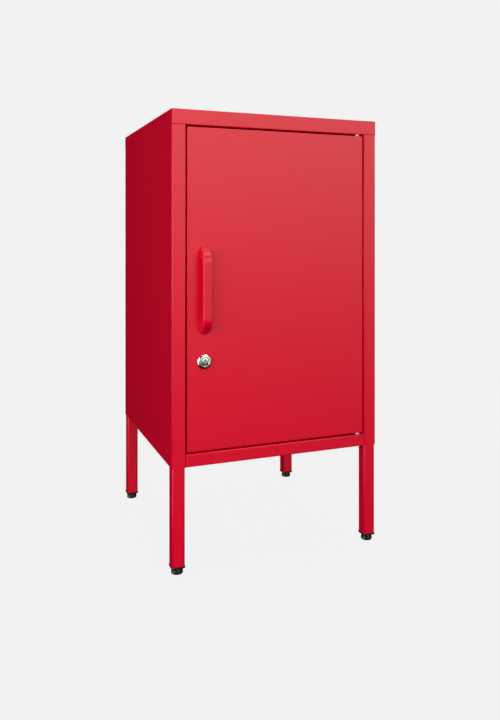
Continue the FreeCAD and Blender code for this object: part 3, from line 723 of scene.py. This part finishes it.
@dataclass
class Studio:
    """Pale floor, soft light and the camera.

    The surroundings hold one soft lobe of light. Its strength by height above the
    horizon is in glow_heights, in degrees, and it fades to its sides by the cosine
    of the angle from its heading.
    """

    backdrop: float = 0.888
    camera_place: Colour = (-0.4491, -1.1852, 0.5123)
    camera_turn: float = -21.354
    lens: float = 35.2
    sensor: float = 36.0
    shift: float = -0.1755
    floor_radius: float = 6.0
    floor_rings: int = 12
    floor_around: int = 96
    floor_shade: float = 0.02
    shade_near: float = 0.15
    shade_far: float = 0.75
    paper: float = 0.9
    glow_heights: tuple[tuple[float, float], ...] = (
        (-90.0, 0.0),
        (-24.0, 0.0),
        (-16.0, 0.08),
        (-4.5, 0.58),
        (7.0, 1.75),
        (12.0, 2.30),
        (22.0, 2.40),
        (32.0, 1.20),
        (45.0, 0.15),
        (60.0, 0.0),
    )
    glow_tint: Colour = (1.0, 1.0, 0.86)
    glow_heading: float = 22.5
    glow_side_none: float = 0.70
    glow_side_full: float = 0.98

    def build(self) -> None:
        """Builds the camera, the floor, the surroundings and the lamps."""
        self.camera()
        self.floor()
        self.surroundings()
        for soft_box in SOFT_BOXES:
            soft_box.hang()
        scene = bpy.context.scene
        scene.view_settings.view_transform = "Standard"
        scene.view_settings.look = "None"

    def camera(self) -> None:
        """Places the camera at standing distance, level, to the left of the door."""
        data = bpy.data.cameras.new("camera")
        data.sensor_width = self.sensor
        data.lens = self.lens
        data.shift_y = self.shift
        data.clip_end = 50.0
        camera = bpy.data.objects.new("camera", data)
        camera.location = self.camera_place
        camera.rotation_euler = (math.radians(90), 0.0, math.radians(self.camera_turn))
        bpy.context.scene.collection.objects.link(camera)
        bpy.context.scene.camera = camera

    def floor(self) -> None:
        """Lays a round pale floor that takes only a breath of shadow."""
        around = self.floor_around
        mesh = bmesh.new()
        centre = mesh.verts.new((0.0, 0.0, 0.0))
        last = None
        for ring in range(1, self.floor_rings + 1):
            radius = self.floor_radius * (ring / self.floor_rings) ** 2
            row = []
            for step in range(around):
                angle = TURN * step / around
                point = (radius * math.cos(angle), radius * math.sin(angle), 0.0)
                row.append(mesh.verts.new(point))
            for step in range(around):
                after = (step + 1) % around
                if last is None:
                    mesh.faces.new((centre, row[step], row[after]))
                else:
                    mesh.faces.new((last[step], row[step], row[after], last[after]))
            last = row
        data = bpy.data.meshes.new("floor")
        mesh.to_mesh(data)
        mesh.free()
        floor = bpy.data.objects.new("floor", data)
        bpy.context.scene.collection.objects.link(floor)
        floor.visible_diffuse = False
        floor.visible_glossy = False
        floor.visible_transmission = False
        floor.visible_shadow = False
        data.materials.append(self.floor_finish())

    def floor_finish(self) -> bpy.types.Material:
        """Mixes pale paper that glows as the backdrop does and takes faint shade.

        Returns:
            The floor's material.
        """
        material = bpy.data.materials.new("pale_floor")
        material.use_nodes = True
        tree = material.node_tree
        tree.nodes.clear()
        place = tree.nodes.new("ShaderNodeTexCoord")
        length = tree.nodes.new("ShaderNodeVectorMath")
        length.operation = "LENGTH"
        tree.links.new(place.outputs["Object"], length.inputs[0])
        fade = tree.nodes.new("ShaderNodeMapRange")
        fade.interpolation_type = "SMOOTHSTEP"
        fade.inputs["From Min"].default_value = self.shade_near
        fade.inputs["From Max"].default_value = self.shade_far
        fade.inputs["To Min"].default_value = self.floor_shade
        fade.inputs["To Max"].default_value = 0.0
        tree.links.new(length.outputs["Value"], fade.inputs["Value"])
        glow = tree.nodes.new("ShaderNodeEmission")
        glow.inputs["Color"].default_value = (self.backdrop,) * 3 + (1.0,)
        matt = tree.nodes.new("ShaderNodeBsdfDiffuse")
        matt.inputs["Color"].default_value = (self.paper,) * 3 + (1.0,)
        mix = tree.nodes.new("ShaderNodeMixShader")
        tree.links.new(fade.outputs["Result"], mix.inputs[0])
        tree.links.new(glow.outputs[0], mix.inputs[1])
        tree.links.new(matt.outputs[0], mix.inputs[2])
        out = tree.nodes.new("ShaderNodeOutputMaterial")
        tree.links.new(mix.outputs[0], out.inputs["Surface"])
        return material

    def surroundings(self) -> None:
        """Fills the surroundings with one broad soft lobe at the front right."""
        world = bpy.data.worlds.new("surroundings")
        bpy.context.scene.world = world
        world.use_nodes = True
        tree = world.node_tree
        tree.nodes.clear()
        place = tree.nodes.new("ShaderNodeTexCoord")
        parts = tree.nodes.new("ShaderNodeSeparateXYZ")
        tree.links.new(place.outputs["Generated"], parts.inputs[0])
        top = max(value for _, value in self.glow_heights)
        ramp = tree.nodes.new("ShaderNodeValToRGB")
        ramp.color_ramp.interpolation = "LINEAR"
        while len(ramp.color_ramp.elements) < len(self.glow_heights):
            ramp.color_ramp.elements.new(0.5)
        for stop, (angle, value) in zip(ramp.color_ramp.elements, self.glow_heights):
            stop.position = (math.sin(math.radians(angle)) + 1) / 2
            stop.color = (*scaled(self.glow_tint, value / top), 1.0)
        up = tree.nodes.new("ShaderNodeMapRange")
        up.inputs["From Min"].default_value = -1.0
        tree.links.new(parts.outputs["Z"], up.inputs["Value"])
        tree.links.new(up.outputs["Result"], ramp.inputs["Fac"])
        aim = tree.nodes.new("ShaderNodeVectorMath")
        aim.operation = "DOT_PRODUCT"
        heading = math.radians(self.glow_heading)
        aim.inputs[1].default_value = (math.sin(heading), -math.cos(heading), 0.0)
        flat = tree.nodes.new("ShaderNodeVectorMath")
        flat.operation = "MULTIPLY"
        flat.inputs[1].default_value = (1.0, 1.0, 0.0)
        unit = tree.nodes.new("ShaderNodeVectorMath")
        unit.operation = "NORMALIZE"
        tree.links.new(place.outputs["Generated"], flat.inputs[0])
        tree.links.new(flat.outputs[0], unit.inputs[0])
        tree.links.new(unit.outputs[0], aim.inputs[0])
        side = tree.nodes.new("ShaderNodeMapRange")
        side.interpolation_type = "SMOOTHSTEP"
        side.inputs["From Min"].default_value = self.glow_side_none
        side.inputs["From Max"].default_value = self.glow_side_full
        tree.links.new(aim.outputs["Value"], side.inputs["Value"])
        power = tree.nodes.new("ShaderNodeMath")
        power.operation = "MULTIPLY"
        tree.links.new(side.outputs["Result"], power.inputs[0])
        power.inputs[1].default_value = top
        lobe = tree.nodes.new("ShaderNodeBackground")
        tree.links.new(ramp.outputs["Color"], lobe.inputs["Color"])
        tree.links.new(power.outputs["Value"], lobe.inputs["Strength"])
        paper = tree.nodes.new("ShaderNodeBackground")
        paper.inputs["Color"].default_value = (self.backdrop,) * 3 + (1.0,)
        ray = tree.nodes.new("ShaderNodeLightPath")
        mix = tree.nodes.new("ShaderNodeMixShader")
        tree.links.new(ray.outputs["Is Camera Ray"], mix.inputs[0])
        tree.links.new(lobe.outputs[0], mix.inputs[1])
        tree.links.new(paper.outputs[0], mix.inputs[2])
        out = tree.nodes.new("ShaderNodeOutputWorld")
        tree.links.new(mix.outputs[0], out.inputs["Surface"])


# ---------------------------------------------------------------- pieces


@dataclass
class SubAssembly:
    """Something that the workshop builds, dresses and hangs on a body."""

    shop: Workshop

    def fit(
        self, piece: bpy.types.Object, slot: Slot, body: str, *nodes: str
    ) -> bpy.types.Object:
        """Dresses a new piece, hangs it on its body and retires its plain nodes.

        Args:
            piece: the new piece.
            slot: the slot whose finish it takes.
            body: the body it rides on.
            nodes: the CAD nodes that it stands for.

        Returns:
            The same piece.
        """
        self.shop.dress(piece, slot)
        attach(piece, body)
        if nodes:
            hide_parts(*nodes)
        log.info("built %s on %s", piece.name, body)
        return piece

    def keep(self, slot: Slot, *nodes: str, edge: float = 0.15) -> None:
        """Dresses CAD nodes that stay, and breaks their edges.

        Args:
            slot: the slot whose finish they take.
            nodes: names of the nodes.
            edge: width of each broken edge in millimetres.
        """
        for node in nodes:
            self.shop.break_edges(node, slot, edge * MM)
            log.info("dressed %s", node)

    def build(self) -> None:
        """Builds every piece of the sub-assembly."""
        raise NotImplementedError


@dataclass
class SteelCase(SubAssembly):
    """The folded case, its four legs and the marks of its spot welds."""

    weld_wide: float = 5.2
    weld_proud: float = 0.06
    weld_pitch: float = 92.0
    weld_margin: float = 30.0

    def build(self) -> None:
        """Dresses the sheets and legs and adds the rear weld marks."""
        self.keep(
            Slot.RED,
            "top_cap",
            "bottom_panel",
            "back_panel",
            "side_panel_left",
            "side_panel_right",
        )
        for corner in Corner:
            self.keep(Slot.RED, f"leg_{corner.value}", edge=0.2)
            self.keep(Slot.BLACK, f"leg_insert_{corner.value}", edge=0.35)
        self.weld_marks()

    def weld_marks(self) -> None:
        """Presses a row of weld marks down each rear flange."""
        mesh = bmesh.new()
        leg_low, leg_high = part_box("leg_rear_left")
        low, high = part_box("side_panel_left")
        margin, pitch = self.weld_margin * MM, self.weld_pitch * MM
        first = low.z + margin
        count = int((high.z - margin - first) / pitch) + 1
        for side in (-1, 1):
            across = side * abs((leg_low.x + leg_high.x) / 2)
            for row in range(count):
                height = first + row * pitch
                place = facing_back(Vector((across, high.y, height)))
                weld_mark(mesh, place, self.weld_wide, self.weld_proud)
        self.fit(finish_mesh(mesh, "rear_weld_marks"), Slot.RED, Body.CASE.value)


def weld_mark(mesh: bmesh.types.BMesh, place: Matrix, wide: float, proud: float) -> None:
    """Adds the shallow ringed mark that a welding electrode leaves.

    Args:
        mesh: the mesh that takes the mark.
        place: a point on the sheet, facing out of it.
        wide: its diameter in millimetres.
        proud: how high its rim stands in millimetres.
    """
    half = wide / 2
    profile = (
        (-0.10, half),
        (0.0, half),
        (proud, half * 0.86),
        (proud, half * 0.74),
        (proud * 0.3, half * 0.56),
        (proud * 0.25, half * 0.2),
    )
    lathe(mesh, in_metres(profile), place, 24)


@dataclass
class LevellingFoot(SubAssembly):
    """One moulded foot on a threaded stud."""

    corner: Corner = Corner.FRONT_LEFT
    pitch: float = 1.25
    thread_depth: float = 0.62

    def build(self) -> None:
        """Builds the stud and the pad."""
        self.stud()
        self.pad()

    def stud(self) -> None:
        """Cuts the thread of the stud."""
        node = f"foot_stud_{self.corner.value}"
        low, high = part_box(node)
        centre = middle(node)
        crest = (high.x - low.x) / 2
        height = high.z - low.z
        root = crest - self.thread_depth * MM
        sections = [(0.0, root - 0.4 * MM), (0.4 * MM, root)]
        sections += thread(
            0.5 * MM,
            height - 0.5 * MM,
            crest,
            self.pitch * MM,
            self.thread_depth * MM,
        )
        sections += [(height - 0.4 * MM, root), (height, root - 0.4 * MM)]
        mesh = bmesh.new()
        place = facing_up(Vector((centre.x, centre.y, low.z)))
        lathe(mesh, sections, place, 40)
        self.fit(
            finish_mesh(mesh, f"threaded_stud_{self.corner.value}"),
            Slot.ZINC,
            self.corner.body,
            node,
        )

    def pad(self) -> None:
        """Moulds the pad with a rounded tread, a groove and a chamfered hub."""
        node = f"foot_pad_{self.corner.value}"
        low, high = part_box(node)
        centre = middle(node)
        half = (high.x - low.x) / 2 / MM
        profile = (
            (0.0, half - 1.0),
            (0.12, half - 0.62),
            (0.42, half - 0.26),
            (0.9, half - 0.04),
            (1.3, half),
            (4.7, half - 0.12),
            (5.3, half - 0.3),
            (5.9, half - 0.75),
            (6.3, half - 1.35),
            (6.5, half - 2.0),
            (6.5, 6.9),
            (6.3, 6.65),
            (6.5, 6.45),
            (9.1, 6.4),
            (9.4, 6.25),
            (9.5, 5.9),
            (9.5, 4.5),
            (9.2, 4.1),
            (2.6, 4.05),
            (2.5, 3.9),
        )
        mesh = bmesh.new()
        place = facing_up(Vector((centre.x, centre.y, low.z)))
        lathe(mesh, in_metres(profile), place, 72)
        self.fit(
            finish_mesh(mesh, f"moulded_foot_{self.corner.value}", 50.0),
            Slot.BLACK,
            self.corner.body,
            node,
        )


@dataclass
class Hinge(SubAssembly):
    """One pivot pin in its flanged bush."""

    level: Level = Level.UPPER
    shank: float = 2.0
    sleeve: float = 2.8
    bore: float = 2.05

    def build(self) -> None:
        """Turns the pin and the bush."""
        name = self.level.value
        pin_low, pin_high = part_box(f"hinge_pin_{name}")
        bush_low, bush_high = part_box(f"hinge_bush_{name}")
        centre = middle(f"hinge_pin_{name}")
        upper = self.level is Level.UPPER
        seat = facing_up if upper else facing_down
        pin_long = (pin_high.z - pin_low.z) / MM
        bush_long = (bush_high.z - bush_low.z) / MM
        start = pin_low.z if upper else pin_high.z
        head = (pin_high.x - pin_low.x) / 2 / MM
        profile = (
            (0.0, head - 1.6),
            (0.25, head - 0.7),
            (0.6, head - 0.2),
            (1.0, head),
            (1.5, head),
            (1.5, self.shank + 0.02),
            (1.7, self.shank),
            (pin_long - 0.7, self.shank),
            (pin_long - 0.2, self.shank - 0.4),
            (pin_long, self.shank - 0.8),
        )
        mesh = bmesh.new()
        place = seat(Vector((centre.x, centre.y, start)))
        lathe(mesh, in_metres(profile), place, 48)
        self.fit(
            finish_mesh(mesh, f"pivot_pin_{name}"),
            Slot.ZINC,
            Body.DOOR.value,
            f"hinge_pin_{name}",
        )
        start = bush_low.z if upper else bush_high.z
        collar = (bush_high.x - bush_low.x) / 2 / MM
        profile = (
            (0.0, self.bore + 0.25),
            (0.0, collar - 0.3),
            (0.3, collar),
            (2.1, collar),
            (2.4, collar - 0.15),
            (2.4, self.sleeve),
            (bush_long - 0.4, self.sleeve - 0.03),
            (bush_long, self.sleeve - 0.25),
            (bush_long, self.bore + 0.2),
            (bush_long - 0.25, self.bore),
            (0.25, self.bore),
        )
        mesh = bmesh.new()
        place = seat(Vector((centre.x, centre.y, start)))
        lathe(mesh, in_metres(profile), place, 48, bored=True)
        self.fit(
            finish_mesh(mesh, f"flanged_bush_{name}"),
            Slot.NYLON,
            Body.CASE.value,
            f"hinge_bush_{name}",
        )


@dataclass
class DoorStop(SubAssembly):
    """One stop plate and the rubber buffer on it."""

    level: Level = Level.UPPER

    def build(self) -> None:
        """Dresses the plate and moulds the buffer."""
        self.keep(Slot.RED, f"door_stop_{self.level.value}")
        node = f"door_buffer_{self.level.value}"
        low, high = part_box(node)
        centre = middle(node)
        half = (high.x - low.x) / 2 / MM
        long = (high.y - low.y) / MM
        profile = (
            (0.0, half),
            (0.9, half),
            (1.1, half - 0.15),
            (1.4, half - 0.45),
            (1.8, half - 0.45),
            (2.1, half - 0.12),
            (2.5, half - 0.05),
            (3.3, half - 0.3),
            (4.0, half - 0.8),
            (4.5, half - 1.5),
            (long - 0.08, half - 2.2),
            (long, half - 2.8),
        )
        mesh = bmesh.new()
        lathe(mesh, in_metres(profile), facing_front(Vector((centre.x, high.y, centre.z))), 40)
        self.fit(
            finish_mesh(mesh, f"rubber_buffer_{self.level.value}", 60.0),
            Slot.RUBBER,
            Body.CASE.value,
            node,
        )


@dataclass
class ShelfSupport(SubAssembly):
    """The slotted strips, their clips and the shelf."""

    def build(self) -> None:
        """Dresses the strips, the clips and the shelf."""
        for corner in Corner:
            self.keep(Slot.RED, f"shelf_strip_{corner.value}")
            self.keep(Slot.ZINC, f"shelf_clip_{corner.value}")
        self.keep(Slot.RED, "shelf")


@dataclass
class Screw:
    """A pan-head machine screw with a cross recess, sizes in millimetres."""

    shank: float
    head: float
    tall: float
    long: float
    pitch: float = 0.7
    thread_depth: float = 0.38

    def piece(self, name: str, place: Matrix) -> bpy.types.Object:
        """Builds the screw.

        Args:
            name: the piece's name.
            place: the seat of its head, facing out of the head.

        Returns:
            The screw.
        """
        radius = self.shank / 2
        root = radius - self.thread_depth
        half = self.head / 2
        sections = in_metres(((-self.long, root - 0.4), (-self.long + 0.35, root)))
        sections += thread(
            (-self.long + 0.4) * MM,
            -0.3 * MM,
            radius * MM,
            self.pitch * MM,
            self.thread_depth * MM,
        )
        dome = (
            (-0.2, radius - 0.1),
            (0.0, half - 0.15),
            (0.15, half),
            (self.tall * 0.45, half - 0.05),
            (self.tall * 0.72, half * 0.9),
            (self.tall * 0.9, half * 0.72),
            (self.tall * 0.98, half * 0.5),
            (self.tall, half * 0.3),
        )
        sections += in_metres(dome)
        mesh = bmesh.new()
        lathe(mesh, sections, place, 40)
        screw = finish_mesh(mesh, name)
        arm, slot = half * 0.56 * MM, half * 0.1 * MM
        cutters = []
        for wide, deep in ((arm, slot), (slot, arm)):
            corners = ((-wide, -deep), (wide, -deep), (wide, deep), (-wide, deep))
            cutters.append(prism(corners, self.tall * 0.38 * MM, 2 * self.tall * MM, place))
        carve(screw, cutters)
        return screw


@dataclass
class SteelDoor(SubAssembly):
    """The door pan, its stiffening rib and the rib's weld marks."""

    weld_wide: float = 5.0
    weld_proud: float = 0.06
    weld_pitch: float = 64.0
    weld_margin: float = 22.0
    weld_inset: float = 5.0

    def build(self) -> None:
        """Dresses the sheets and adds the weld marks inside."""
        self.keep(Slot.RED, "door_skin", "door_rib")
        mesh = bmesh.new()
        rib_low, rib_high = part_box("door_rib")
        skin_low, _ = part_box("door_skin")
        gauge = rib_low.y - skin_low.y
        foot = rib_low.y + gauge
        margin, pitch, inset = self.weld_margin * MM, self.weld_pitch * MM, self.weld_inset * MM
        first = rib_low.z + margin
        count = int((rib_high.z - margin - first) / pitch) + 1
        for across in (rib_low.x + inset, rib_high.x - inset):
            for row in range(count):
                place = facing_back(Vector((across, foot, first + row * pitch)))
                weld_mark(mesh, place, self.weld_wide, self.weld_proud)
        self.fit(finish_mesh(mesh, "rib_weld_marks"), Slot.RED, Body.DOOR.value)


@dataclass
class PullHandle(SubAssembly):
    """The arched pull and the two screws that hold it."""

    screw: Screw = field(default_factory=lambda: Screw(4.0, 8.0, 2.4, 7.75))

    def build(self) -> None:
        """Dresses the pull and makes its screws."""
        self.keep(Slot.RED, "pull", edge=0.1)
        for level in Level:
            node = f"pull_screw_{level.value}"
            _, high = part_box(node)
            centre = middle(node)
            seat = Vector((centre.x, high.y - self.screw.tall * MM, centre.z))
            self.fit(
                self.screw.piece(f"cross_screw_{level.value}", facing_back(seat)),
                Slot.ZINC,
                Body.DOOR.value,
                node,
            )


@dataclass
class CamLock(SubAssembly):
    """The cam lock: chromed barrel and rosette, plug, nut, cam and screw."""

    bore: float = 6.05
    barrel: float = 8.75
    rosette: float = 12.0
    face: float = 9.0
    stand: float = 6.0
    sheet: float = 0.8
    pitch: float = 1.0
    thread_depth: float = 0.45
    plug: float = 5.99
    tail_side: float = 7.0
    tail_limit: float = 4.6
    keyway_deep: float = 9.0
    nut_flats: float = 22.0
    nut_thick: float = 4.0
    screw: Screw = field(default_factory=lambda: Screw(4.0, 10.0, 2.4, 7.95))

    @property
    def seat(self) -> Vector:
        """Finds where the lock stands.

        Returns:
            The middle of the rosette where it meets the door's face.
        """
        low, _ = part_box("lock_barrel")
        centre = middle("lock_barrel")
        return Vector((centre.x, low.y + self.stand * MM, centre.z))

    def build(self) -> None:
        """Builds the lock from the rosette back to the cam screw."""
        self.barrel_piece()
        self.plug_piece()
        self.nut_piece()
        self.keep(Slot.ZINC, "lock_cam", edge=0.35)
        _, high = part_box("cam_screw")
        seat = Vector((self.seat.x, high.y - self.screw.tall * MM, self.seat.z))
        self.fit(
            self.screw.piece("cam_cross_screw", facing_back(seat)),
            Slot.ZINC,
            Body.LOCK.value,
            "cam_screw",
        )

    def barrel_piece(self) -> None:
        """Turns the rosette and the threaded barrel in one."""
        _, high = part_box("lock_barrel")
        back = -(high.y - self.seat.y) / MM
        rim = self.rosette
        front = (
            (self.stand - 0.35, self.bore),
            (self.stand, self.bore + 0.35),
            (self.stand, self.face),
            (self.stand - 0.1, self.face + 0.35),
            (self.stand - 0.7, self.face + 1.1),
            (self.stand - 1.5, self.face + 1.9),
            (self.stand - 2.4, self.face + 2.5),
            (self.stand - 3.4, self.face + 2.85),
            (self.stand - 4.4, rim),
            (0.25, rim),
            (0.0, rim - 0.2),
            (0.0, self.barrel - 0.25),
        )
        sections = in_metres(front)
        sections += thread(
            -self.sheet * MM,
            (back + 0.7) * MM,
            self.barrel * MM,
            self.pitch * MM,
            self.thread_depth * MM,
        )
        tail = (
            (back + 0.6, self.barrel - 0.5),
            (back, self.barrel - 0.9),
            (back, self.bore + 0.3),
            (back + 0.3, self.bore),
        )
        sections += in_metres(tail)
        mesh = bmesh.new()
        lathe(mesh, sections, facing_front(self.seat), 72, bored=True)
        self.fit(
            finish_mesh(mesh, "lock_rosette", 28.0),
            Slot.CHROME,
            Body.DOOR.value,
            "lock_barrel",
        )

    def plug_piece(self) -> None:
        """Turns the plug, squares its tail and cuts the keyway."""
        low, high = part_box("lock_plug")
        cam_low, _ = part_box("lock_cam")
        face = -(low.y - self.seat.y) / MM
        back = -(high.y - self.seat.y) / MM
        shoulder = -(cam_low.y - self.seat.y) / MM + 0.1
        tail = square(self.tail_side * MM, self.tail_limit * MM)
        sections = in_metres(
            (
                (face, 0.8),
                (face, 5.55),
                (face - 0.1, 5.85),
                (face - 0.35, self.plug),
                (shoulder + 0.3, self.plug),
                (shoulder, 5.7),
            )
        )
        sections += [(shoulder * MM, tail), (back * MM, tail)]
        mesh = bmesh.new()
        place = facing_front(self.seat)
        lathe(mesh, sections[::-1], place, 72)
        plug = finish_mesh(mesh, "keyed_plug")
        keyway = (
            (-0.9, 3.7),
            (-0.9, 1.9),
            (-0.25, 1.4),
            (-0.25, 0.2),
            (-1.0, -0.4),
            (-1.0, -2.4),
            (-0.45, -2.9),
            (-0.45, -3.75),
            (1.0, -3.75),
            (1.0, -1.5),
            (0.35, -0.9),
            (0.35, 0.7),
            (0.95, 1.2),
            (0.95, 3.7),
        )
        outline = [(x * MM, y * MM) for x, y in keyway]
        floor = (face - self.keyway_deep) * MM
        carve(plug, [prism(outline, floor, (face + 1.0) * MM, place)])
        self.fit(plug, Slot.CHROME, Body.LOCK.value, "lock_plug")

    def nut_piece(self) -> None:
        """Turns the hexagon nut that clamps the barrel to the door."""
        front = -self.sheet
        back = front - self.nut_thick
        wide = hexagon(self.nut_flats * MM, 1.0)
        turned = hexagon(self.nut_flats * MM, (self.nut_flats / 2 + 0.15) * MM)
        part = hexagon(self.nut_flats * MM, (self.nut_flats / 2 + 1.0) * MM)
        hole = (self.barrel + 0.05) * MM
        sections = [
            (front * MM, hole + 0.5 * MM),
            (front * MM, turned),
            ((front - 0.35) * MM, part),
            ((front - 0.6) * MM, wide),
            ((back + 0.6) * MM, wide),
            ((back + 0.35) * MM, part),
            (back * MM, turned),
            (back * MM, hole + 0.5 * MM),
            ((back + 0.5) * MM, hole),
            ((front - 0.5) * MM, hole),
        ]
        mesh = bmesh.new()
        lathe(mesh, sections, facing_front(self.seat), 96, bored=True)
        self.fit(
            finish_mesh(mesh, "hexagon_nut", 20.0),
            Slot.ZINC,
            Body.DOOR.value,
            "lock_nut",
        )


def main() -> None:
    """Builds every sub-assembly in order and reports each one."""
    logging.basicConfig(level=logging.INFO, format="%(message)s")
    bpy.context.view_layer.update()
    Studio().build()
    shop = Workshop()
    assemblies = [
        SteelCase(shop),
        *(LevellingFoot(shop, corner) for corner in Corner),
        *(Hinge(shop, level) for level in Level),
        *(DoorStop(shop, level) for level in Level),
        ShelfSupport(shop),
        SteelDoor(shop),
        PullHandle(shop),
        CamLock(shop),
    ]
    for assembly in assemblies:
        assembly.build()
        log.info("finished %s", type(assembly).__name__)


if __name__ == "__main__":
    main()
